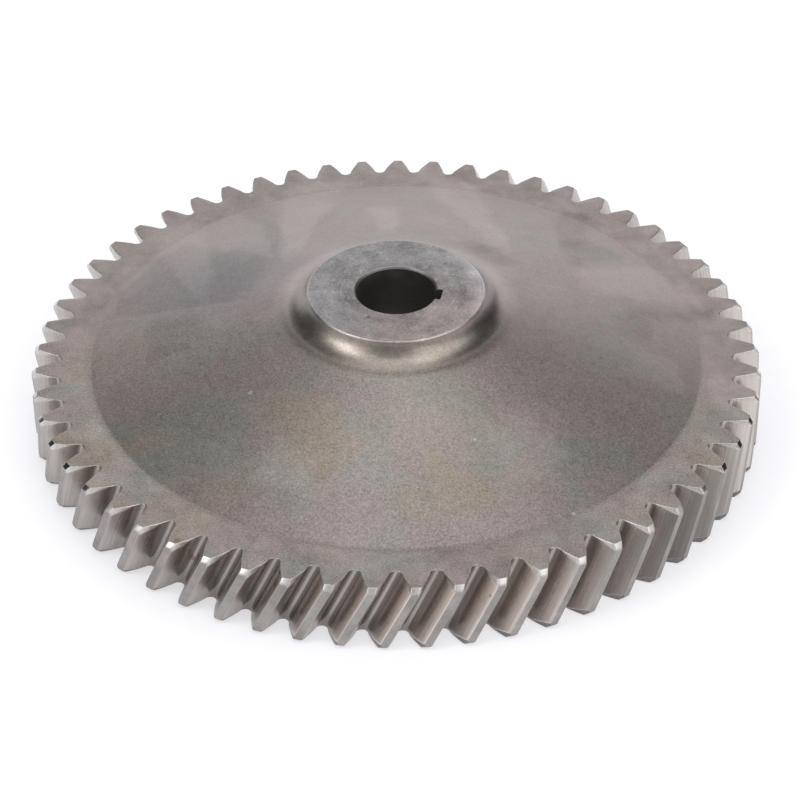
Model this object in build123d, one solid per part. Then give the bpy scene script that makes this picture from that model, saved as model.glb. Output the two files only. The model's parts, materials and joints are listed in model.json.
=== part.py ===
from build123d import *
import os
from math import acos, atan, cos, degrees, hypot, pi, radians, sin, sqrt, tan

# A helical pinion gear machined from one dished steel forging.
# Z is the bore's axis, z = 0 is the lower face of the toothed rim, the long side of the hub
# points up and the keyway points along +X. Lengths are millimetres and angles are degrees.

INCH = 25.4

# Teeth, cut to an inch pitch; the helix is right-handed
tooth_count = 57
diametral_pitch = 8
pressure_angle = 20
helix_angle = 24.4
face_width = 20.4
addendum_in_modules = 1.0
dedendum_in_modules = 1.5
tooth_thinning = 0.31
tooth_phase = -0.6

# Broken edges of the teeth. The tip corners are turned off. At each end of a tooth both flank
# edges are bevelled, widest at the tip and running out above the root, the sharp edge more
tip_chamfer = 1.3
sharp_edge_bevel = 1.15
sharp_edge_bevel_depth = 2.2
blunt_edge_bevel = 0.35
blunt_edge_bevel_depth = 1.5
bevel_run_out = 1.5

# Rim and dished web
rim_inner_radius = 86.0
rim_corner_radius = 4.0
web_slope = 16.6
web_thickness = 12.0
recess_radius = 84.5
recess_draft = 10.0
recess_fillet = 5.0
recess_edge_break = 0.5

# Hub
hub_radius = 24.8
hub_rise = 21.55
hub_length = 32.0
hub_cove_radius = 10.1
hub_edge_break = 0.3
hub_lower_draft = 7.0
hub_lower_fillet = 8.0

# Bore and keyway: 7/8 inch with a 3/16 inch key
bore_diameter = 7 / 8 * INCH
bore_chamfer = 0.6
keyway_width = 3 / 16 * INCH
keyway_floor = 12.9

# How far the cutting shapes reach past the metal, and past the edges that they bevel
cutter_margin = 2.0
bevel_overlap = 0.4

# How closely the tooth curves are drawn
flank_points = 4
twist_sections = 3
radius_tolerance = 1e-6

# Tooth geometry worked out in the plane across the axis
helix = radians(helix_angle)
module = INCH / diametral_pitch
pitch_radius = tooth_count * module / (2 * cos(helix))
tip_radius = pitch_radius + addendum_in_modules * module
root_radius = pitch_radius - dedendum_in_modules * module
pitch_pressure_angle = atan(tan(radians(pressure_angle)) / cos(helix))
base_radius = pitch_radius * cos(pitch_pressure_angle)
twist_per_mm = degrees(tan(helix) / pitch_radius)
tooth_pitch = 360 / tooth_count

hub_top = face_width + hub_rise
hub_bottom = hub_top - hub_length
bore_radius = bore_diameter / 2


def involute(angle):
    """The involute function of a pressure angle in radians."""
    return tan(angle) - angle


def flank_pressure_angle(radius):
    """The involute flank's pressure angle at a radius, in radians."""
    return acos(min(1.0, base_radius / radius))


def space_half_angle(radius):
    """Half the angle that a tooth space spans at a radius, in radians."""
    tooth_at_pitch = pi / (2 * tooth_count) - tooth_thinning / (2 * pitch_radius)
    tooth = tooth_at_pitch + involute(pitch_pressure_angle) - involute(flank_pressure_angle(radius))
    return pi / tooth_count - tooth


def root_arc_above_root(radius):
    """How far an arc lies above the root circle at its lowest point, when it is centred on
    the space's middle line and touches the flanks at this radius."""
    half = space_half_angle(radius)
    lean = half + flank_pressure_angle(radius)
    arc_radius = radius * sin(half) / cos(lean)
    lowest = radius * cos(half) + arc_radius * sin(lean) - arc_radius
    return lowest - root_radius


def flank_start_radius():
    """The radius where the round root runs into the flanks."""
    low = max(base_radius, root_radius)
    high = tip_radius
    while high - low > radius_tolerance:
        middle = (low + high) / 2
        if root_arc_above_root(middle) > 0:
            high = middle
        else:
            low = middle
    return low


def at_angle(radius, angle, height=0.0):
    """A point from a radius, an angle in radians and a height."""
    return (radius * cos(angle), radius * sin(angle), height)


def evenly(start, end, count):
    """Evenly spaced values from start to end."""
    return [start + (end - start) * i / (count - 1) for i in range(count)]


def space_outline(height):
    """The outline of the space between two teeth at a height, open past the tooth tips. Its
    middle line lies on +X at the upper face."""
    radii = evenly(flank_start_radius(), tip_radius + cutter_margin, flank_points)
    turn = radians(twist_per_mm * (height - face_width))
    right = [at_angle(r, turn - space_half_angle(r), height) for r in radii]
    left = [at_angle(r, turn + space_half_angle(r), height) for r in radii]
    root = ThreePointArc(right[0], at_angle(root_radius, turn, height), left[0])
    return Wire([Spline(right), root, Spline(left), Line(left[-1], right[-1])])


def tooth_space():
    """The helical space between two teeth."""
    heights = evenly(-cutter_margin, face_width + cutter_margin, twist_sections)
    return Solid.make_loft([space_outline(height) for height in heights])


def bevel_outline(level, side, width, depth):
    """The outline of a bevel cutter, level millimetres above the upper face, between the
    middle line of a space and a flank. The side is 1 for the flank ahead and -1 for the
    one behind."""
    start = root_radius + bevel_run_out
    middle = radians(twist_per_mm * level)
    height = face_width + level
    flank = []
    for radius in evenly(start - bevel_overlap, tip_radius + cutter_margin, flank_points):
        rise = (radius - start) / (tip_radius - start)
        inset = width * (rise + level / depth)
        angle = space_half_angle(radius) + inset / radius
        flank.append(at_angle(radius, middle + side * angle, height))
    inner = at_angle(start - bevel_overlap, middle, height)
    outer = at_angle(tip_radius + cutter_margin, middle, height)
    return Wire([Spline(flank), Line(flank[-1], outer), Line(outer, inner), Line(inner, flank[0])])


def edge_bevel(side, width, depth):
    """The cutter that bevels one flank edge of a space at the upper face."""
    levels = (-depth - bevel_overlap, bevel_overlap)
    outlines = [bevel_outline(level, side, width, depth) for level in levels]
    return Solid.make_loft(outlines, True)


def edge_bevels():
    """The cutters for all four flank edges of a space. The lower two are the upper two
    turned half round about the radial line through the middle of the space."""
    middle = radians(-twist_per_mm * face_width / 2)
    radial_line = Axis((0, 0, face_width / 2), at_angle(1, middle))
    upper = [
        edge_bevel(-1, sharp_edge_bevel, sharp_edge_bevel_depth),
        edge_bevel(1, blunt_edge_bevel, blunt_edge_bevel_depth),
    ]
    return upper + [cutter.rotate(radial_line, 180) for cutter in upper]


def round_the_rim(cutters):
    """Copies of the cutters of one space for every space of the gear."""
    first = tooth_phase + tooth_pitch / 2
    turns = [first + i * tooth_pitch for i in range(tooth_count)]
    return [cutter.rotate(Axis.Z, turn) for turn in turns for cutter in cutters]


def web_top(radius):
    """Height of the web's upper cone at a radius."""
    return face_width + (rim_inner_radius - radius) * tan(radians(web_slope))


def upper_cove():
    """The cove from the hub's upper edge down to the cone: start, middle and end points."""
    slope = radians(web_slope)
    edge_radius = hub_radius
    edge_height = hub_top - hub_edge_break
    above_cone = (edge_height - web_top(edge_radius)) * cos(slope)
    along = sqrt(hub_cove_radius ** 2 - (hub_cove_radius - above_cone) ** 2)
    foot_radius = edge_radius - above_cone * sin(slope)
    end_radius = foot_radius + along * cos(slope)
    end = (end_radius, web_top(end_radius))
    centre = (end[0] + hub_cove_radius * sin(slope), end[1] + hub_cove_radius * cos(slope))
    chord = ((edge_radius + end[0]) / 2 - centre[0], (edge_height + end[1]) / 2 - centre[1])
    reach = hub_cove_radius / hypot(*chord)
    middle = (centre[0] + chord[0] * reach, centre[1] + chord[1] * reach)
    return (edge_radius, edge_height), middle, end


def underside_corners():
    """Where the lower cone meets the rim's recess wall and the hub's lower wall."""
    slope = tan(radians(web_slope))
    drop = web_thickness / cos(radians(web_slope))
    recess = tan(radians(recess_draft))
    wall = tan(radians(hub_lower_draft))
    cone_at_recess = web_top(recess_radius) - drop
    rim_height = cone_at_recess / (1 - recess * slope)
    cone_at_hub = web_top(hub_radius) - drop
    hub_height = (cone_at_hub + hub_bottom * wall * slope) / (1 + wall * slope)
    rim_corner = (recess_radius - rim_height * recess, rim_height)
    hub_corner = (hub_radius + (hub_height - hub_bottom) * wall, hub_height)
    return rim_corner, hub_corner


def blank():
    """The turned forging without teeth: rim, dished web, hub and chamfered bore."""
    cove_start, cove_middle, cove_end = upper_cove()
    rim_corner, hub_corner = underside_corners()
    outside = [
        cove_end,
        (rim_inner_radius, face_width),
        (tip_radius - tip_chamfer, face_width),
        (tip_radius, face_width - tip_chamfer),
        (tip_radius, tip_chamfer),
        (tip_radius - tip_chamfer, 0),
        (recess_radius + recess_edge_break, 0),
        (recess_radius - recess_edge_break * tan(radians(recess_draft)), recess_edge_break),
        rim_corner,
        hub_corner,
        (hub_radius + hub_edge_break * tan(radians(hub_lower_draft)), hub_bottom + hub_edge_break),
        (hub_radius - hub_edge_break, hub_bottom),
        (bore_radius + bore_chamfer, hub_bottom),
        (bore_radius, hub_bottom + bore_chamfer),
        (bore_radius, hub_top - bore_chamfer),
        (bore_radius + bore_chamfer, hub_top),
        (hub_radius - hub_edge_break, hub_top),
        cove_start,
    ]
    corner_radii = [0] * (len(outside) - 2)
    corner_radii[0] = rim_corner_radius
    corner_radii[outside.index(rim_corner) - 1] = recess_fillet
    corner_radii[outside.index(hub_corner) - 1] = hub_lower_fillet
    with BuildSketch(Plane.XZ) as half_section:
        with BuildLine():
            FilletPolyline(outside, radius=corner_radii)
            ThreePointArc(cove_start, cove_middle, cove_end)
        make_face()
    return revolve(half_section.sketch, Axis.Z)


def keyway():
    """The keyway's cutter, from the bore's axis to the keyway's floor."""
    height = hub_length + 2 * cutter_margin
    middle = (hub_top + hub_bottom) / 2
    return Pos(keyway_floor / 2, 0, middle) * Box(keyway_floor, keyway_width, height)


def pinion_gear():
    """The whole gear, one piece of steel."""
    keyed_blank = blank() - keyway()
    toothed = keyed_blank.cut(*round_the_rim([tooth_space()]))
    return toothed.cut(*round_the_rim(edge_bevels()))


os.makedirs("parts", exist_ok=True)
gear = pinion_gear()
gear.label = "pinion_gear"
export_step(gear, "parts/pinion_gear.step")
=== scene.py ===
import json
from math import acos, asin, atan, atan2, cos, hypot, pi, radians, sin, sqrt, tan

import bpy
from mathutils import Matrix, Vector

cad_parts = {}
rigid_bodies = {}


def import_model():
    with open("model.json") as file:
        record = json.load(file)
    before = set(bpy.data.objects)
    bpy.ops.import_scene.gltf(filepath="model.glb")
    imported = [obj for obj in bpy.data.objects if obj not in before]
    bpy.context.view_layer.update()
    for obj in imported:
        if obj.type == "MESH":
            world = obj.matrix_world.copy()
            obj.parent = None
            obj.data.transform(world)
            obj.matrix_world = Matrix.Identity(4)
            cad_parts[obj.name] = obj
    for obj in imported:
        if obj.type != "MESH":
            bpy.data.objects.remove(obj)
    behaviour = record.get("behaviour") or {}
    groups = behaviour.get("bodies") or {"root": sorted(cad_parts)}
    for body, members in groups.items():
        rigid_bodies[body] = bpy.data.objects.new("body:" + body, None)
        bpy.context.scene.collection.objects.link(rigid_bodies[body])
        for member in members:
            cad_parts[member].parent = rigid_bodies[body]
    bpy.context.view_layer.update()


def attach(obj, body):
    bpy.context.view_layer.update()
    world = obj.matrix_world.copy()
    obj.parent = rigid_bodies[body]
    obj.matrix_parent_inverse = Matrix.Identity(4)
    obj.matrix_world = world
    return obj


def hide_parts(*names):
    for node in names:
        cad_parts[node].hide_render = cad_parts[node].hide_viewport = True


# A helical pinion gear of bare steel on a white table. Sizes are millimetres until a mesh is
# finished, then MM brings it to metres. Z is the bore's axis and z = 0 is the rim's lower face.
MM = 0.001
INCH = 25.4

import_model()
for loaded in bpy.data.objects:
    loaded.select_set(False)

# Teeth, as the solid has them
TEETH = 57
MODULE = INCH / 8
HELIX = radians(24.4)
NORMAL_PRESSURE = radians(20)
FACE = 20.4
DEDENDUM = 1.5 * MODULE
TOOTH_THINNING = 0.31
TOOTH_PHASE = radians(-0.6)
TIP_CHAMFER = 1.3
SHARP_BEVEL = (1.15, 2.2)
BLUNT_BEVEL = (0.35, 1.5)
BEVEL_RUN_OUT = 1.5

PITCH_RADIUS = TEETH * MODULE / (2 * cos(HELIX))
TIP_RADIUS = PITCH_RADIUS + MODULE
ROOT_RADIUS = PITCH_RADIUS - DEDENDUM
PRESSURE = atan(tan(NORMAL_PRESSURE) / cos(HELIX))
BASE_RADIUS = PITCH_RADIUS * cos(PRESSURE)
TWIST = tan(HELIX) / PITCH_RADIUS
TOOTH_PITCH = 2 * pi / TEETH

# Rim, dished web, hub, bore and keyway
RIM_INNER = 86.0
RIM_CORNER = 4.0
WEB_SLOPE = tan(radians(16.6))
WEB_THICKNESS = 12.0
RECESS_RADIUS = 84.5
RECESS_DRAFT = tan(radians(10))
RECESS_FILLET = 5.0
RECESS_EDGE = 0.5
HUB_RADIUS = 24.8
HUB_TOP = FACE + 21.55
HUB_BOTTOM = HUB_TOP - 32.0
HUB_COVE = 10.1
HUB_EDGE = 0.3
HUB_LOWER_DRAFT = tan(radians(7))
HUB_LOWER_FILLET = 8.0
BORE_RADIUS = INCH * 7 / 16
BORE_CHAMFER = 0.6
KEYWAY_WIDTH = INCH * 3 / 16
KEYWAY_FLOOR = 12.9
CUT_MARGIN = 2.0

# How finely the gear's mesh is laid out
HALVINGS = 40
ROOT_STEPS = 5
FLANK_STEPS = 9
FLANK_END = 0.975
TIP_SHARES = (-0.88, -0.3, 0.3, 0.88)
TWIST_STEPS = 6
END_LINES = 5
BODY_STEPS = 228
COVE_STEPS = 14
WEB_STEPS = 14
RIM_STEPS = 3
FILLET_STEPS = 8
SMALL_FILLET_STEPS = 3
CAP_RADIUS = 93.9

# How softly its edges are broken, and how its parts are merged and shaded smooth
SOFT_EDGE = 0.12
HUB_SOFTNESS = 0.12
CHAMFER_SOFTNESS = 0.15
MERGE = 0.01
SLIVER = 0.001
CREASE = radians(60)


def involute(angle):
    """The involute function of a pressure angle."""
    return tan(angle) - angle


def pressure_at(radius):
    """The flank's pressure angle at a radius."""
    return acos(min(1.0, BASE_RADIUS / radius))


def tooth_half_angle(radius):
    """Half the angle that a tooth spans at a radius."""
    at_pitch = pi / (2 * TEETH) - TOOTH_THINNING / (2 * PITCH_RADIUS)
    return at_pitch + involute(PRESSURE) - involute(pressure_at(radius))


def root_gap(radius):
    """How far the round root would lie above the root circle if it touched the flanks here."""
    half = pi / TEETH - tooth_half_angle(radius)
    lean = half + pressure_at(radius)
    round_radius = radius * sin(half) / cos(lean)
    return radius * cos(half) + round_radius * sin(lean) - round_radius - ROOT_RADIUS


def flank_start():
    """The radius where the round root runs into the flanks."""
    low, high = ROOT_RADIUS, TIP_RADIUS
    for _ in range(HALVINGS):
        middle = (low + high) / 2
        low, high = (low, middle) if root_gap(middle) > 0 else (middle, high)
    return low


FLANK_START = flank_start()


def root_points():
    """Radius and angle from the tooth's middle along the round root, from the middle of the
    space up to where the flank starts."""
    half = pi / TEETH - tooth_half_angle(FLANK_START)
    chord = FLANK_START * sin(half)
    depth = FLANK_START * cos(half) - ROOT_RADIUS
    radius = (chord ** 2 + depth ** 2) / (2 * depth)
    reach = asin(chord / radius)
    points = []
    for step in range(ROOT_STEPS):
        angle = reach * step / ROOT_STEPS
        along = ROOT_RADIUS + radius - radius * cos(angle)
        across = radius * sin(angle)
        points.append((hypot(along, across), pi / TEETH - atan2(across, along)))
    return points


def tooth_columns():
    """The lengthwise lines of one tooth, from the middle of one space to the next. Each is
    (form, side, value): a root line by its place, a flank line by its share of the flank's
    height, a line on the tip by its share of the half width. None lies on the corner between
    flank and tip, so the corner is a little rounded."""
    shares = [FLANK_END * i / FLANK_STEPS for i in range(FLANK_STEPS + 1)]
    behind = [("root", -1, point) for point in root_points()]
    behind += [("flank", -1, share) for share in shares]
    ahead = [(form, -side, value) for form, side, value in reversed(behind)]
    return behind + [("tip", 1, share) for share in TIP_SHARES] + ahead


def tooth_levels():
    """The crosswise lines of one tooth's wall, from the lower face to the upper. Each is
    (end, line), where the lines of an end are numbered from its face inwards."""
    lower = [(-1, line) for line in range(END_LINES)]
    upper = [(1, line) for line in reversed(range(END_LINES))]
    return lower + [(0, step / TWIST_STEPS) for step in range(1, TWIST_STEPS)] + upper


def bevel_of(side, end):
    """Width and depth of the bevel on one flank edge."""
    return SHARP_BEVEL if side * end > 0 else BLUNT_BEVEL


def rise_at(radius):
    """How much of its full size a bevel has at a radius."""
    start = ROOT_RADIUS + BEVEL_RUN_OUT
    return min(1.0, max(0.0, (radius - start) / (TIP_RADIUS - start)))


def end_line(side, end, rise, line):
    """How far a line of one end lies below its face: a line beside the face's edge, one on
    each side of the tip chamfer's foot, the foot of the bevel and a line beside that."""
    at_root = (SOFT_EDGE, 0.2, 0.28, 0.36, 0.56)[line]
    depth = bevel_of(side, end)[1]
    at_tip = (SOFT_EDGE, TIP_CHAMFER - 0.1, TIP_CHAMFER + 0.1, depth, depth + 0.2)[line]
    return at_root + (at_tip - at_root) * rise


def end_point(column, end, line):
    """Radius, angle from the tooth's middle and height of a point near one face."""
    form, side, value = column
    if form == "root":
        radius, angle = value
        return radius, side * angle, end_line(side, end, 0, line)
    if form == "tip":
        behind = end_point(("flank", -1, 1.0), end, line)
        ahead = end_point(("flank", 1, 1.0), end, line)
        share = (1 + value) / 2
        return tuple(b + (a - b) * share for b, a in zip(behind, ahead))
    height = FLANK_START + value * (TIP_RADIUS - FLANK_START)
    below = end_line(side, end, rise_at(height), line)
    tip = TIP_RADIUS - value * max(0.0, TIP_CHAMFER - below)
    radius = FLANK_START + value * (tip - FLANK_START)
    width, depth = bevel_of(side, end)
    inset = width * max(0.0, rise_at(radius) - below / depth)
    return radius, side * (tooth_half_angle(radius) - inset / radius), below


def wall_point(column, level):
    """A point of the first tooth's wall."""
    end, line = level
    if end:
        radius, angle, below = end_point(column, end, line)
        height = FACE - below if end > 0 else below
    else:
        low = end_point(column, -1, END_LINES - 1)[2]
        radius, angle, high = end_point(column, 1, END_LINES - 1)
        height = low + (FACE - high - low) * line
    turn = TOOTH_PHASE + TWIST * (height - FACE) + angle
    return Vector((radius * cos(turn), radius * sin(turn), height))


def face_ring(outline, height, turn):
    """Two more rows on a face, inside a tooth's outline: one along its edge, and one on the
    circle where the body's own lines start."""
    beside, circle = [], []
    last = len(outline) - 1
    for i, point in enumerate(outline):
        inwards = Vector((-point.x, -point.y, 0))
        if 0 < i < last:
            along = outline[i + 1] - outline[i - 1]
            inwards = Vector((-along.y, along.x, 0))
        inner = point + SOFT_EDGE * inwards.normalized()
        beside.append(Vector((inner.x, inner.y, height)))
        share = (atan2(point.y, point.x) - turn) / TOOTH_PITCH + 0.5
        share = round(share * BODY_STEPS / TEETH) * TEETH / BODY_STEPS
        snapped = turn + (share - 0.5) * TOOTH_PITCH
        circle.append(Vector((CAP_RADIUS * cos(snapped), CAP_RADIUS * sin(snapped), height)))
    return beside, circle


def tooth_rows():
    """All the points of the first tooth, row by row from the lower face's circle, up the wall
    and in to the upper face's circle."""
    columns = tooth_columns()
    rows = [[wall_point(column, level) for column in columns] for level in tooth_levels()]
    low_beside, low_circle = face_ring(rows[0], 0, TOOTH_PHASE - TWIST * FACE)
    high_beside, high_circle = face_ring(rows[-1], FACE, TOOTH_PHASE)
    return [low_circle, low_beside] + rows + [high_beside, high_circle]


def grid_mesh(name, rows):
    """A new piece from a primitive grid whose points are set in rows."""
    across, along = len(rows[0]) - 1, len(rows) - 1
    bpy.ops.mesh.primitive_grid_add(x_subdivisions=across, y_subdivisions=along, size=2)
    piece = bpy.context.active_object
    piece.name = name
    for vertex in piece.data.vertices:
        i = round((vertex.co.x + 1) / 2 * across)
        j = round((vertex.co.y + 1) / 2 * along)
        vertex.co = rows[j][i] * MM
    return piece


def toothed_rim():
    """The ring of teeth: one tooth, spun into copies round the axis."""
    ring = grid_mesh("gear", tooth_rows())
    bpy.ops.object.mode_set(mode="EDIT")
    bpy.ops.mesh.select_all(action="SELECT")
    bpy.ops.mesh.spin(steps=TEETH, dupli=True, angle=2 * pi, center=(0, 0, 0), axis=(0, 0, 1))
    bpy.ops.mesh.select_all(action="SELECT")
    bpy.ops.mesh.remove_doubles(threshold=MERGE * MM)
    bpy.ops.object.mode_set(mode="OBJECT")
    return ring


def rounded(corners):
    """A profile through corners given as (radius, height, rounding), with arcs for corners."""
    points = []
    for i, (x, y, rounding) in enumerate(corners):
        here = Vector((x, y))
        if rounding == 0:
            points.append(here)
            continue
        before = (Vector(corners[i - 1][:2]) - here).normalized()
        after = (Vector(corners[i + 1][:2]) - here).normalized()
        half = before.angle(after) / 2
        setback = rounding / tan(half)
        centre = here + (before + after).normalized() * rounding / sin(half)
        start = here + before * setback - centre
        end = here + after * setback - centre
        steps = SMALL_FILLET_STEPS if rounding < 1 else FILLET_STEPS
        sweep = start.angle(end)
        for step in range(steps + 1):
            share = step / steps
            weight_start = sin((1 - share) * sweep) / sin(sweep)
            weight_end = sin(share * sweep) / sin(sweep)
            points.append(centre + start * weight_start + end * weight_end)
    return points


def web_height(radius):
    """Height of the web's upper cone."""
    return FACE + (RIM_INNER - radius) * WEB_SLOPE


def cove_points():
    """The cove under the hub's upper edge, from the edge down to the cone."""
    slope = atan(WEB_SLOPE)
    edge = Vector((HUB_RADIUS, HUB_TOP - HUB_EDGE))
    above = (edge.y - web_height(edge.x)) * cos(slope)
    along = sqrt(HUB_COVE ** 2 - (HUB_COVE - above) ** 2)
    end_radius = edge.x - above * sin(slope) + along * cos(slope)
    end = Vector((end_radius, web_height(end_radius)))
    centre = end + HUB_COVE * Vector((sin(slope), cos(slope)))
    start_angle = atan2(edge.y - centre.y, edge.x - centre.x) % (2 * pi)
    end_angle = atan2(end.y - centre.y, end.x - centre.x) % (2 * pi)
    sweep = end_angle - start_angle
    turns = [start_angle + sweep * i / COVE_STEPS for i in range(COVE_STEPS + 1)]
    return [centre + HUB_COVE * Vector((cos(turn), sin(turn))) for turn in turns]


def upper_profile():
    """The body's profile from the rim's upper face inwards to the hub's upper edge."""
    cove = cove_points()
    foot = cove[-1]
    rim = rounded([(CAP_RADIUS, FACE, 0), (RIM_INNER, FACE, RIM_CORNER), (foot.x, foot.y, 0)])
    web = [rim[-2].lerp(foot, i / WEB_STEPS) for i in range(1, WEB_STEPS)]
    flat = [rim[0].lerp(rim[1], i / RIM_STEPS) for i in range(1, RIM_STEPS)]
    return rim[:1] + flat + rim[1:-1] + web + cove[::-1]


def hub_profile():
    """From the hub's upper edge over its top, down the bore and out over its lower face."""
    return rounded([
        (HUB_RADIUS, HUB_TOP - HUB_EDGE, 0),
        (HUB_RADIUS - HUB_EDGE, HUB_TOP, HUB_SOFTNESS),
        (BORE_RADIUS + BORE_CHAMFER, HUB_TOP, CHAMFER_SOFTNESS),
        (BORE_RADIUS, HUB_TOP - BORE_CHAMFER, CHAMFER_SOFTNESS),
        (BORE_RADIUS, HUB_BOTTOM + BORE_CHAMFER, CHAMFER_SOFTNESS),
        (BORE_RADIUS + BORE_CHAMFER, HUB_BOTTOM, CHAMFER_SOFTNESS),
        (HUB_RADIUS - HUB_EDGE, HUB_BOTTOM, HUB_SOFTNESS),
        (HUB_RADIUS + HUB_EDGE * HUB_LOWER_DRAFT, HUB_BOTTOM + HUB_EDGE, HUB_SOFTNESS),
        (HUB_RADIUS + HUB_LOWER_DRAFT, HUB_BOTTOM + 1, 0),
    ])[1:-1]


def lower_profile():
    """From the hub's lower wall out under the web and over the rim's recess wall."""
    drop = WEB_THICKNESS / cos(atan(WEB_SLOPE))
    rim_height = (web_height(RECESS_RADIUS) - drop) / (1 - RECESS_DRAFT * WEB_SLOPE)
    hub_height = web_height(HUB_RADIUS) - drop + HUB_BOTTOM * HUB_LOWER_DRAFT * WEB_SLOPE
    hub_height /= 1 + HUB_LOWER_DRAFT * WEB_SLOPE
    hub_corner = HUB_RADIUS + (hub_height - HUB_BOTTOM) * HUB_LOWER_DRAFT
    return rounded([
        (HUB_RADIUS + HUB_LOWER_DRAFT, HUB_BOTTOM + 1, 0),
        (hub_corner, hub_height, HUB_LOWER_FILLET),
        (RECESS_RADIUS - rim_height * RECESS_DRAFT, rim_height, RECESS_FILLET),
        (RECESS_RADIUS - RECESS_EDGE * RECESS_DRAFT, RECESS_EDGE, CHAMFER_SOFTNESS),
        (RECESS_RADIUS + RECESS_EDGE, 0, CHAMFER_SOFTNESS),
        (CAP_RADIUS, 0, 0),
    ])


def gear_body():
    """Everything inside the teeth: rim, web, hub and bore, as one profile rolled round the
    axis. Its lines start on the upper face's circle and end turned to meet the lower one."""
    profile = upper_profile() + hub_profile() + lower_profile()
    step = 2 * pi / BODY_STEPS
    first = TOOTH_PHASE - TOOTH_PITCH / 2
    slip = -((TWIST * FACE) % step)
    turned_after = 0.8 * (len(profile) - 1)
    rows = []
    for turn in range(BODY_STEPS + 1):
        row = []
        for i, point in enumerate(profile):
            angle = first + turn % BODY_STEPS * step + (slip if i > turned_after else 0)
            row.append(Vector((point.x * cos(angle), point.x * sin(angle), point.y)))
        rows.append(row)
    return grid_mesh("gear_body", rows)


def cut_keyway(gear):
    """The keyway, from the bore's middle out to its floor along +X."""
    bpy.ops.mesh.primitive_cube_add(size=1)
    cutter = bpy.context.active_object
    middle = Vector((KEYWAY_FLOOR / 2, 0, (HUB_TOP + HUB_BOTTOM) / 2))
    size = Vector((KEYWAY_FLOOR, KEYWAY_WIDTH, HUB_TOP - HUB_BOTTOM + 2 * CUT_MARGIN))
    cutter.data.transform(Matrix.Translation(middle * MM) @ Matrix.Diagonal(size * MM).to_4x4())
    cut = gear.modifiers.new("keyway", "BOOLEAN")
    cut.operation = "DIFFERENCE"
    cut.solver = "EXACT"
    cut.object = cutter
    bpy.ops.object.select_all(action="DESELECT")
    gear.select_set(True)
    bpy.context.view_layer.objects.active = gear
    bpy.ops.object.modifier_apply(modifier="keyway")
    bpy.data.objects.remove(cutter)


def model_gear():
    """The gear as one closed mesh, with smooth curves, flat faces and finely broken edges."""
    ring = toothed_rim()
    body = gear_body()
    bpy.ops.object.select_all(action="DESELECT")
    body.select_set(True)
    ring.select_set(True)
    bpy.context.view_layer.objects.active = ring
    bpy.ops.object.join()
    bpy.ops.object.mode_set(mode="EDIT")
    bpy.ops.mesh.select_all(action="SELECT")
    bpy.ops.mesh.remove_doubles(threshold=MERGE * MM)
    bpy.ops.mesh.dissolve_degenerate(threshold=SLIVER * MM)
    bpy.ops.mesh.normals_make_consistent(inside=False)
    bpy.ops.object.mode_set(mode="OBJECT")
    cut_keyway(ring)
    bpy.ops.object.shade_smooth_by_angle(angle=CREASE)
    weighted = ring.modifiers.new("even_faces", "WEIGHTED_NORMAL")
    weighted.mode = "FACE_AREA"
    weighted.keep_sharp = True
    bpy.ops.object.modifier_apply(modifier="even_faces")
    return ring


class Value:
    """A shader socket that can be used in sums."""

    def __init__(self, tree, socket):
        self.tree = tree
        self.socket = socket

    def _math(self, operation, *others):
        node = self.tree.nodes.new("ShaderNodeMath")
        node.operation = operation
        for place, item in zip(node.inputs, others):
            if isinstance(item, Value):
                self.tree.links.new(item.socket, place)
            else:
                place.default_value = item
        return Value(self.tree, node.outputs[0])

    def __add__(self, other):
        return self._math("ADD", self, other)

    __radd__ = __add__

    def __sub__(self, other):
        return self._math("SUBTRACT", self, other)

    def __rsub__(self, other):
        return self._math("SUBTRACT", other, self)

    def __mul__(self, other):
        return self._math("MULTIPLY", self, other)

    __rmul__ = __mul__

    def __truediv__(self, other):
        return self._math("DIVIDE", self, other)

    def __rtruediv__(self, other):
        return self._math("DIVIDE", other, self)

    def power(self, other):
        return self._math("POWER", self, other)

    def absolute(self):
        return self._math("ABSOLUTE", self)

    def fraction(self):
        return self._math("FRACT", self)

    def arctan(self, below):
        """The angle whose tangent is this value over another."""
        return self._math("ARCTAN2", self, below)

    def clamped(self):
        return self._math("MINIMUM", self._math("MAXIMUM", self, 0.0), 1.0)

    def rising(self, low, high):
        """0 below low, 1 above high and a smooth step between them."""
        share = ((self - low) / (high - low)).clamped()
        return share * share * (3 - 2 * share)

    def around(self, middle, reach):
        """1 at a value, falling smoothly to 0 at a distance of reach from it."""
        return 1 - (self - middle).absolute().rising(0.0, reach)


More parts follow.
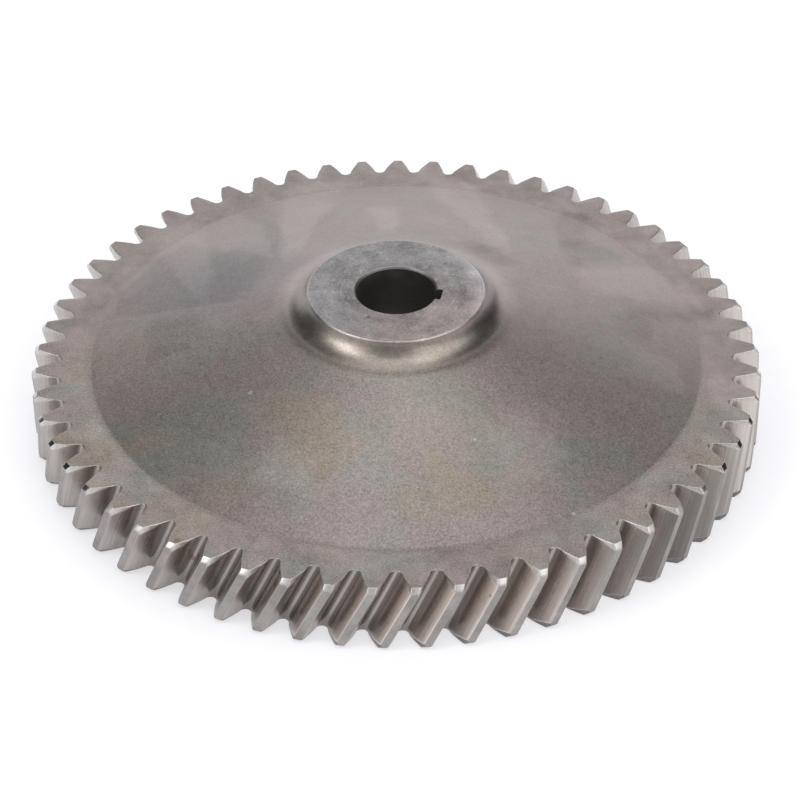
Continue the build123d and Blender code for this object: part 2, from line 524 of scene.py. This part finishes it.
class Finish:
    """A material under construction, with the gear's own coordinates in millimetres."""

    def __init__(self, name):
        self.material = bpy.data.materials.new(name)
        self.material.use_nodes = True
        self.tree = self.material.node_tree
        self.tree.nodes.clear()
        self.place = self.scaled(self.node("ShaderNodeTexCoord").outputs["Object"], 1 / MM)
        parts = self.node("ShaderNodeSeparateXYZ", {}, self.place)
        self.x, self.y, self.z = (Value(self.tree, part) for part in parts.outputs)
        self.radius = (self.x * self.x + self.y * self.y).power(0.5)
        self.angle = self.y.arctan(self.x)
        self.degrees = self.angle * (180 / pi)

    def node(self, kind, settings=None, *values, **named):
        """A new node with its settings, then the values or links of its sockets."""
        node = self.tree.nodes.new(kind)
        for key, setting in (settings or {}).items():
            setattr(node, key, setting)
        sockets = list(zip(node.inputs, values)) + [(node.inputs[key], named[key]) for key in named]
        for socket, value in sockets:
            self._feed(socket, value)
        return node

    def _feed(self, socket, value):
        """Links a value or socket to a socket, or sets the socket to a number or colour."""
        value = value.socket if isinstance(value, Value) else value
        if isinstance(value, bpy.types.NodeSocket):
            self.tree.links.new(value, socket)
        elif value is not None:
            socket.default_value = value

    def noise(self, size, detail=4.0, roughness=0.55, place=None, offset=0.0):
        """Cloudy noise from 0 to 1, whose features are about size millimetres."""
        place = place or self.place
        if offset:
            shift = (offset, 2 * offset, 3 * offset)
            place = self.node("ShaderNodeMapping", {}, place, shift).outputs[0]
        made = self.node("ShaderNodeTexNoise", {}, place, None, 1 / size, detail, roughness, 2.0)
        return Value(self.tree, made.outputs["Fac"])

    def vector(self, x, y, z):
        """A vector from three values."""
        return self.node("ShaderNodeCombineXYZ", {}, x, y, z).outputs[0]

    def scaled(self, vector, factor):
        """A vector or colour times a value."""
        scale = {"operation": "SCALE"}
        return self.node("ShaderNodeVectorMath", scale, vector, Scale=factor).outputs[0]

    def mix(self, share, low, high):
        """A colour between two colours."""
        low = (*low, 1) if isinstance(low, tuple) else low
        high = (*high, 1) if isinstance(high, tuple) else high
        node = self.node("ShaderNodeMix", {"data_type": "RGBA"})
        for place, value in ((0, share), (6, low), (7, high)):
            self._feed(node.inputs[place], value)
        return node.outputs[2]

    def bumped(self, height, distance, strength):
        """A normal from a height of 0 to 1 times a distance in millimetres."""
        values = {"Strength": strength, "Distance": distance * MM, "Height": height}
        return self.node("ShaderNodeBump", {}, **values).outputs[0]

    def surface(self, colour, roughness, normal, metallic=1.0):
        """The finished material, of metal."""
        values = {"Base Color": colour, "Roughness": roughness, "Normal": normal}
        shader = self.node("ShaderNodeBsdfPrincipled", {}, **values, Metallic=metallic)
        self.node("ShaderNodeOutputMaterial", {}, Surface=shader.outputs[0])
        return self.material


def tooth_share(finish):
    """Where a point lies across its own tooth pitch, from 0 in the middle of one space to 1
    in the next, and a number that is the same all over one tooth."""
    unwound = finish.angle - TWIST * (finish.z - FACE) - TOOTH_PHASE
    count = unwound / TOOTH_PITCH + 0.5 + TEETH
    return count.fraction(), count - count.fraction()


def tongue(finish, warp, angle, bend, width, inner, outer):
    """Where a tongue of quenching fluid dried on the web. It starts at an angle at its outer
    end, bends away with the square of the way inwards and has a wavering edge."""
    inwards = 0.1 * (outer - finish.radius)
    across = (finish.degrees - angle - bend * inwards * inwards.absolute() + 10 * warp).absolute()
    along = finish.radius + 14 * warp
    held = along.rising(inner - 5, inner + 5) * (1 - along.rising(outer - 2, outer + 2))
    return held * (1 - across.rising(width - 1.8, width + 1.8))


def quench_stains(finish):
    """The tongues of dried quenching fluid on the web, from -1 where dark to 1 where pale."""
    warp = finish.noise(14, 5.0, 0.62, offset=23) - 0.5
    pale = [
        (117.5, 1.1, 6, 42, 92), (88.5, -1.5, 5.5, 46, 90), (149.5, 1.8, 6, 58, 92),
        (33, 0, 7, 58, 92), (0.6, 0, 6, 68, 82), (104, 0, 4, 40, 66), (-46, 0, 8, 52, 70),
        (-105, 0, 7, 60, 74),
    ]
    dark = [
        (62.5, -2.2, 4, 62, 90), (48.6, 0, 6, 66, 80), (21, 0, 1.6, 70, 92), (15, 0, 5, 64, 72),
        (56, 0, 10, 34, 43), (130.5, 1.0, 3, 44, 86), (66, 0, 7, 36, 44), (165, 0, 15, 45, 84),
        (-168, 0, 8, 56, 70),
    ]
    total = sum(tongue(finish, warp, *spot) for spot in pale)
    return total - sum(tongue(finish, warp, *spot) for spot in dark)


def marks(finish, spots):
    """Small marks on the gear, from 0 to 1, each given by its place and its reach."""
    ragged = 1.4 * finish.noise(0.9, 3.0, 0.6, offset=51) - 0.7
    total = 0.0
    for x, y, z, reach in spots:
        across, along, up = finish.x - x, finish.y - y, finish.z - z
        away = (across * across + along * along + up * up).power(0.5) / reach + ragged
        total = total + (1 - away.rising(0.5, 1.0))
    return total.clamped()


# The middle of the gear's worn side, in degrees round the axis
WORN_SIDE = -79

# Spots of rust and bright knocks, each with its place on the gear and its reach
RUST = [
    (-40.9, -91.0, 20.4, 1.2), (-38.4, -86.8, 11.2, 1.4), (-13.1, -99.5, 17.0, 1.3),
    (3.0, -99.8, 17.4, 1.0), (41.7, -92.9, 15.8, 0.6), (-35.0, -89.5, 20.4, 0.8),
]
KNOCKS = [
    (-42.6, -92.7, 19.9, 1.1), (-32.2, -96.6, 19.8, 1.0), (-32.9, -39.1, 30.8, 0.8),
    (58.7, -62.2, 20.4, 0.7), (-18.0, -52.0, 30.5, 0.6), (30.0, -47.0, 29.5, 0.5),
]


def web_steel():
    """Blasted and heat-treated steel: the dished web, the cove, the rim's flat faces and the
    tips of the teeth. It has a fine grit, quench stains and a pinkish tint, with olive, straw
    and warm patches towards -Y and a slate one towards -X. Painted shade darkens the two
    corners of the web towards -Y, and the cove towards -Y carries a painted warm tint of its
    glint, with painted shade dimming that glint towards +X."""
    finish = Finish("web_steel")
    grit = finish.noise(0.6, 2.0, 0.7)
    coarse = finish.noise(2.4, 3.0, 0.6, offset=31)
    blotch = finish.noise(9, 3.0, 0.6, offset=61)
    clouds = finish.noise(30, 3.0, 0.5, offset=7)
    hue = finish.noise(22, 2.0, 0.5, offset=90)
    straw = finish.noise(26, 2.0, 0.5, offset=130).rising(0.5, 0.66)
    front = 1 - finish.y.rising(-30, 10)
    in_cove = 1 - finish.radius.rising(31.0, 36.0)
    on_web = finish.radius.rising(30, 36) * finish.z.rising(5, 15)
    on_rim = finish.radius.rising(RIM_INNER + 0.5, RIM_INNER + 2)
    tips = finish.radius.rising(TIP_RADIUS - 0.4, TIP_RADIUS - 0.1)
    stains = quench_stains(finish) * on_web
    slate = finish.x.around(-54, 40) * finish.y.around(12, 32) * on_web
    warm = finish.x.around(21, 34) * finish.y.around(-43, 28) * on_web
    # Painted shade: dark lines at the cove's foot and in the rim's inner corner, used towards -Y
    # only.
    cove_foot = finish.radius.around(31.9, 1.8) * finish.z.rising(33, 35)
    corners = cove_foot + 0.35 * finish.radius.around(RIM_INNER + 0.3, 2.0)
    gritty = (0.6 + 0.75 * front) * (1 - 0.35 * in_cove) * (1 - 0.6 * tips)
    tone = 0.985 + 0.24 * (clouds - 0.5) + 1.05 * gritty * (grit - 0.5) + 0.34 * (coarse - 0.5)
    # The last term is painted shade in the web's corners towards -Y.
    tone = tone + (0.18 + 0.75 * on_rim) * (blotch - 0.5) + 0.15 * stains - 0.26 * front * corners
    # The last term is painted shade that dims the cove's glint towards +X and -Y.
    tone = tone - 0.2 * slate + 0.13 * warm - 0.12 * in_cove * front * finish.x.rising(0, 18)
    tone = tone * (1 + 0.3 * tips) + 0.7 * marks(finish, KNOCKS)
    pink, olive, sandy = (0.300, 0.256, 0.246), (0.276, 0.264, 0.244), (0.305, 0.262, 0.224)
    shade = finish.mix(hue.rising(0.42, 0.6) * (0.35 + 0.65 * front), pink, olive)
    shade = finish.mix(0.9 * straw * front, shade, sandy)
    shade = finish.mix(0.5 * slate, shade, (0.258, 0.257, 0.280))
    shade = finish.mix(0.35 * warm, shade, sandy)
    shade = finish.mix(0.65 * tips, shade, (0.288, 0.272, 0.258))
    # A painted warm tint of the cove's glint towards -Y.
    shade = finish.mix(0.5 * in_cove * front, shade, (0.312, 0.268, 0.226))
    shade = finish.mix(0.8 * marks(finish, RUST), shade, (0.20, 0.15, 0.105))
    colour = finish.scaled(shade, tone)
    roughness = 0.42 - 0.10 * in_cove + 0.1 * (coarse - 0.5)
    normal = finish.bumped(0.7 * grit + 0.3 * coarse, 0.1, 0.6 - 0.35 * in_cove)
    return finish.surface(colour, roughness, normal)


def tooth_steel():
    """Cut and shaved steel: the walls of the teeth, streaked along the helix by the cutter and
    fresher on the bevels of the ends. Painted shade makes them darker and browner towards the
    root, on the lower ends' bevels and along the tip edges, and they are painted lighter towards
    the tip. The working flanks carry a painted highlight round -74 degrees, strongest near the
    tip, and painted shade round -34 degrees. The tip chamfers are polished away from the worn side."""
    finish = Finish("tooth_steel")
    share, number = tooth_share(finish)
    streak_place = finish.vector(finish.radius * 2.2, share * 60, finish.z * 0.05 + 13 * number)
    streaks = finish.noise(1.6, 3.0, 0.6, place=streak_place)
    fine = finish.noise(1.1, 2.0, 0.6, place=streak_place)
    broad = finish.noise(5, 2.0, 0.5, place=streak_place)
    cloud = finish.noise(6, 3.0, 0.55, offset=12)
    per_tooth = finish.noise(1.0, 0.0, 0.5, place=finish.vector(number * 3.7, 0.0, 0.0))
    below = FACE / 2 - (finish.z - FACE / 2).absolute()
    sharp_side = ((share - 0.5) * (finish.z - FACE / 2)).rising(-0.01, 0.01)
    start = ROOT_RADIUS + BEVEL_RUN_OUT
    grown = ((finish.radius - start) / (TIP_RADIUS - start)).clamped()
    depth = grown * (BLUNT_BEVEL[1] + (SHARP_BEVEL[1] - BLUNT_BEVEL[1]) * sharp_side)
    bevelled = 1 - (below - depth).rising(-0.1, 0.05)
    high = finish.radius.rising(ROOT_RADIUS + 1, TIP_RADIUS - 0.8)
    near_tip = finish.radius.rising(98.5, 101.5)
    edge = finish.radius.rising(TIP_RADIUS - 0.45, TIP_RADIUS - 0.1)
    # Painted shade in the roots between the teeth.
    root_painted_shade = 1 - finish.radius.rising(94.8, 96.2)
    # The lower ends, whose bevels get painted shade below.
    lower = 1 - finish.z.rising(8, 12)
    working = (1 - share.rising(0.47, 0.5)) * high * (1 - bevelled)
    # Painted highlight on the working flanks round -74 degrees.
    rub_wear_and_painted_highlight = finish.degrees.around(-74, 38) * working
    # Painted shade on the working flanks round -34 degrees.
    painted_flank_shade = finish.degrees.around(-34, 26) * working
    tone = 1.07 + 0.2 * (streaks - 0.5) + 0.6 * (fine - 0.5) + 0.12 * (broad - 0.5)
    # The high terms here and in the shade below paint the flanks darker towards the root and
    # lighter towards the tip.
    tone = tone + 0.25 * (cloud - 0.5) + 0.14 * (per_tooth - 0.5) + 0.2 * (high - 0.5)
    # The edge term is painted shade that dims the highlight on the tip edges.
    tone = tone - 0.22 * edge + 0.3 * marks(finish, KNOCKS) - 0.14 * root_painted_shade
    # Painted shade on the lower ends' bevels and on the flanks round -34 degrees.
    tone = tone * (1 - 0.6 * bevelled * lower) * (1 - 0.5 * painted_flank_shade)
    # Painted highlight on the working flanks, strongest near the tip.
    tone = tone * (1 + (0.38 + 0.32 * near_tip) * rub_wear_and_painted_highlight)
    brown = finish.mix(cloud, (0.455, 0.408, 0.378), (0.435, 0.404, 0.385))
    shade = finish.mix(0.5 * high, brown, (0.51, 0.468, 0.435))
    chamfer_foot = TIP_RADIUS - TIP_CHAMFER
    chamfered = bevelled * finish.radius.rising(chamfer_foot - 0.1, chamfer_foot + 0.3)
    polished = chamfered * (finish.degrees - WORN_SIDE).absolute().rising(46, 60)
    shade = finish.mix(bevelled, shade, (0.50, 0.472, 0.452))
    shade = finish.mix(0.8 * chamfered, shade, (0.55, 0.535, 0.52))
    shade = finish.mix(0.8 * marks(finish, RUST), shade, (0.27, 0.195, 0.13))
    colour = finish.scaled(shade, tone)
    roughness = 0.22 + 0.08 * (streaks - 0.5) + 0.06 * (cloud - 0.5) + 0.08 * high
    roughness = roughness + 0.14 * edge + 0.06 * chamfered - 0.26 * polished
    normal = finish.bumped(0.6 * streaks + 0.4 * fine, 0.012, 0.25)
    return finish.surface(colour, roughness, normal)


def hub_steel():
    """Turned steel, worn by what clamps on it: the hub's end faces and their edges. Wear has
    left pale smears, fine rings and pits, and worn the outer edge bright."""
    finish = Finish("hub_steel")
    ring_place = finish.vector(finish.radius, finish.angle * 1.5, finish.z * 0.2)
    smear_place = finish.vector(finish.radius * 0.9, finish.angle * 6, 0.0)
    rings = finish.noise(0.5, 3.0, 0.6, place=ring_place)
    smears = finish.noise(2.2, 3.0, 0.6, place=smear_place)
    wear = finish.noise(6.5, 5.0, 0.6, offset=5)
    spots = finish.noise(2.6, 3.0, 0.6, offset=44).rising(0.55, 0.72)
    pits = finish.noise(1.2, 1.0, 0.3, offset=77).rising(0.73, 0.78)
    grain = finish.noise(0.7, 2.0, 0.65, offset=70)
    edge = finish.radius.rising(HUB_RADIUS - HUB_EDGE - 0.25, HUB_RADIUS - HUB_EDGE)
    rub_wear_and_painted_highlight = finish.radius.rising(19.5, 24) * finish.x.rising(6, 20) * finish.y.rising(-20, 0)
    near_bore = 1 - finish.radius.rising(12, 17)
    tone = 0.95 + 0.4 * (rings - 0.5) + 1.35 * (wear - 0.5) + 0.6 * (smears - 0.5) + 0.32 * spots
    tone = tone - 0.3 * pits + 1.05 * (grain - 0.5) + 0.6 * edge + 0.45 * rub_wear_and_painted_highlight - 0.15 * near_bore
    pinkish = finish.x.rising(-18, 6) * (1 - finish.y.rising(-10, 18))
    shade = finish.mix(pinkish, (0.268, 0.258, 0.262), (0.292, 0.252, 0.244))
    colour = finish.scaled(shade, tone)
    roughness = 0.38 + 0.2 * (wear - 0.5) + 0.1 * (rings - 0.5)
    normal = finish.bumped(0.6 * rings + 0.3 * grain - 0.8 * pits, 0.04, 0.5)
    return finish.surface(colour, roughness, normal)


def bore_steel():
    """The bored hole and its keyway, painted dark as shade inside the hole, below a pale upper lip.
    """
    finish = Finish("bore_steel")
    ring_place = finish.vector(finish.z, finish.angle * 1.2, 0.0)
    rings = finish.noise(0.6, 3.0, 0.6, place=ring_place)
    film = finish.noise(5, 3.0, 0.5, offset=18)
    lip = finish.z.rising(HUB_TOP - 0.3, HUB_TOP - 0.05)
    tone = 0.8 + 0.25 * (rings - 0.5) + 0.3 * (film - 0.5) + 0.7 * lip
    # The dark colours are painted shade inside the bore.
    shade = finish.mix(film, (0.18, 0.165, 0.153), (0.23, 0.214, 0.202))
    colour = finish.scaled(shade, tone)
    return finish.surface(colour, 0.4 + 0.15 * film, finish.bumped(rings, 0.03, 0.4), 0.9)


def finish_gear(gear):
    """Gives each face of the gear the finish of its place."""
    gear.data.materials.clear()
    for made in (web_steel(), tooth_steel(), hub_steel(), bore_steel()):
        gear.data.materials.append(made)
    web, tooth, hub, bore = range(4)
    slack = 0.05
    nearly = 0.95
    for face in gear.data.polygons:
        centre = face.center / MM
        radius = hypot(centre.x, centre.y)
        flat = abs(face.normal.z) > nearly
        outwards = (face.normal.x * centre.x + face.normal.y * centre.y) / radius
        on_tip = radius > TIP_RADIUS - 0.2 and outwards > nearly
        on_keyway = radius < KEYWAY_FLOOR + slack and not flat
        at_hub_end = centre.z > HUB_TOP - HUB_EDGE or centre.z < HUB_BOTTOM + HUB_EDGE
        if radius > ROOT_RADIUS - SOFT_EDGE and not flat and not on_tip:
            face.material_index = tooth
        elif radius < BORE_RADIUS + BORE_CHAMFER - slack or on_keyway:
            face.material_index = bore
        elif radius < HUB_RADIUS + slack and at_hub_end:
            face.material_index = hub
        else:
            face.material_index = web


gear = model_gear()
finish_gear(gear)
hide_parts("pinion_gear")
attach(gear, "root")


# Camera, solved from the photograph's circles of the gear. Lengths are in shares of the size,
# which is the radius of the rim's upper edge in metres.
VIEW_SIZE = 0.10117
VIEW_RISE = 0.64743
VIEW_ROLL = 0.00385
VIEW_DISTANCE = 7.81816
VIEW_SHIFT = (-0.01019, 0.13241)
VIEW_TURN = radians(10.6)
VIEW_LENS = 126.1
VIEW_SENSOR = 36
VIEW_NEAREST = 0.05


def photo_camera():
    """The camera that sees the gear as the photograph does."""
    back = Vector((0, -cos(VIEW_RISE), sin(VIEW_RISE)))
    right = Vector((1, 0, 0))
    up = Vector((0, sin(VIEW_RISE), cos(VIEW_RISE)))
    across = right * cos(VIEW_ROLL) - up * sin(VIEW_ROLL)
    upright = right * sin(VIEW_ROLL) + up * cos(VIEW_ROLL)
    place = (back * VIEW_DISTANCE - across * VIEW_SHIFT[0] - upright * VIEW_SHIFT[1]) * VIEW_SIZE
    place.z += FACE * MM
    turn = Matrix.Rotation(VIEW_TURN, 4, "Z")
    pose = Matrix.Translation(place) @ Matrix((across, upright, back)).transposed().to_4x4()
    camera = bpy.data.objects.new("camera", bpy.data.cameras.new("camera"))
    camera.data.lens = VIEW_LENS
    camera.data.sensor_width = VIEW_SENSOR
    camera.data.clip_start = VIEW_NEAREST
    camera.matrix_world = turn @ pose
    bpy.context.collection.objects.link(camera)
    return camera


def seen_straight(tree, rays):
    """1 for a ray that comes straight from the camera, from a tree's Light Path node."""
    camera_ray, passed_ray = rays.outputs["Is Camera Ray"], rays.outputs["Is Transmission Ray"]
    return Value(tree, camera_ray) + Value(tree, passed_ray)


class Studio:
    """The world round the gear: a dark room with soft-edged windows of light. Azimuth 0 is to
    the camera's right and 90 away from it, and angles are degrees."""

    EDGE = 5
    DARK = 0.04

    def __init__(self):
        self.world = bpy.data.worlds.new("studio")
        self.world.use_nodes = True
        self.tree = self.world.node_tree
        self.tree.nodes.clear()
        parts = self.tree.nodes.new("ShaderNodeSeparateXYZ")
        facing = self.tree.nodes.new("ShaderNodeTexCoord").outputs["Generated"]
        self.tree.links.new(facing, parts.inputs[0])
        self.x, self.y, self.rise = (Value(self.tree, part) for part in parts.outputs)
        self.level = (self.x * self.x + self.y * self.y).power(0.5)
        self.light = self.DARK

    def above(self, elevation):
        """1 above an elevation."""
        low, high = elevation - self.EDGE, elevation + self.EDGE
        return self.rise.rising(sin(radians(low)), sin(radians(high)))

    def window(self, left, right, low, high, brightness):
        """A window of light from one azimuth to another and between two elevations."""
        middle = radians((left + right) / 2) + VIEW_TURN
        reach = (right - left) / 2
        facing = (self.x * cos(middle) + self.y * sin(middle)) / self.level
        sideways = facing.rising(cos(radians(reach + self.EDGE)), cos(radians(reach - self.EDGE)))
        self.light = self.light + brightness * sideways * (self.above(low) - self.above(high))

    def ceiling(self, low, brightness):
        """Light from all that is above an elevation."""
        self.light = self.light + brightness * self.above(low)

    def finished(self):
        """What looks straight at the world, or at its foot through a mirror, sees white."""
        rays = self.tree.nodes.new("ShaderNodeLightPath")
        at_foot = 1 - self.rise.rising(0.02, 0.1)
        mirrored = Value(self.tree, rays.outputs["Is Glossy Ray"]) * at_foot
        white = seen_straight(self.tree, rays) + mirrored
        strength = self.light + white * (1 - self.light)
        background = self.tree.nodes.new("ShaderNodeBackground")
        background.inputs["Color"].default_value = (1.0, 1.0, 1.0, 1)
        self.tree.links.new(strength.socket, background.inputs["Strength"])
        output = self.tree.nodes.new("ShaderNodeOutputWorld")
        self.tree.links.new(background.outputs[0], output.inputs[0])
        return self.world


def studio_world():
    """A broad softbox to the right of the camera, a narrow strong one to its left, weaker light
    from behind the camera, pale walls and a soft overhead light. The rest of the room is dark."""
    studio = Studio()
    # The softboxes, and the glow round the left one
    studio.window(-65, 8, 36, 78, 2.05)
    studio.window(-175, -147, 37, 64, 4.2)
    studio.window(-180, -125, 10, 70, 0.85)
    # Behind the camera, high and low
    studio.window(-120, -60, 36, 62, 0.32)
    studio.window(-125, 0, 12, 30, 0.95)
    # The foot of the room at the right and at the back
    studio.window(-82, 15, -5, 12, 1.35)
    studio.window(64, 140, -5, 12, 1.2)
    # The back wall, from low to high
    studio.window(55, 120, 12, 30, 1.5)
    studio.window(60, 120, 30, 50, 0.75)
    studio.window(60, 120, 50, 70, 1.4)
    studio.ceiling(70, 1.5)
    return studio.finished()


def white_table():
    """Pale matt paper, white where the lamps reach it and bluish grey in the shade."""
    finish = Finish("white_table")
    grain = finish.noise(1.5)
    colour = finish.mix(grain, (0.89, 0.90, 0.945), (0.91, 0.92, 0.965))
    paper = finish.node("ShaderNodeBsdfDiffuse", {}, colour)
    glow = finish.node("ShaderNodeEmission", {}, (0.975, 0.970, 1.0, 1), 1.22)
    rays = finish.node("ShaderNodeLightPath")
    mirrored = Value(finish.tree, rays.outputs["Is Glossy Ray"])
    share = 0.47 * seen_straight(finish.tree, rays) + 0.27 * mirrored
    blend = finish.node("ShaderNodeMixShader", {}, share, paper.outputs[0], glow.outputs[0])
    finish.node("ShaderNodeOutputMaterial", {}, Surface=blend.outputs[0])
    return finish.material


TABLE_SIZE = 6.0
TABLE_GAP = 0.02

bpy.context.scene.camera = photo_camera()
bpy.context.scene.world = studio_world()
bpy.ops.mesh.primitive_plane_add(size=TABLE_SIZE, location=(0, 0, -TABLE_GAP * MM))
table = bpy.context.active_object
table.name = "table"
table.data.materials.append(white_table())

bpy.context.scene.view_settings.view_transform = "Standard"
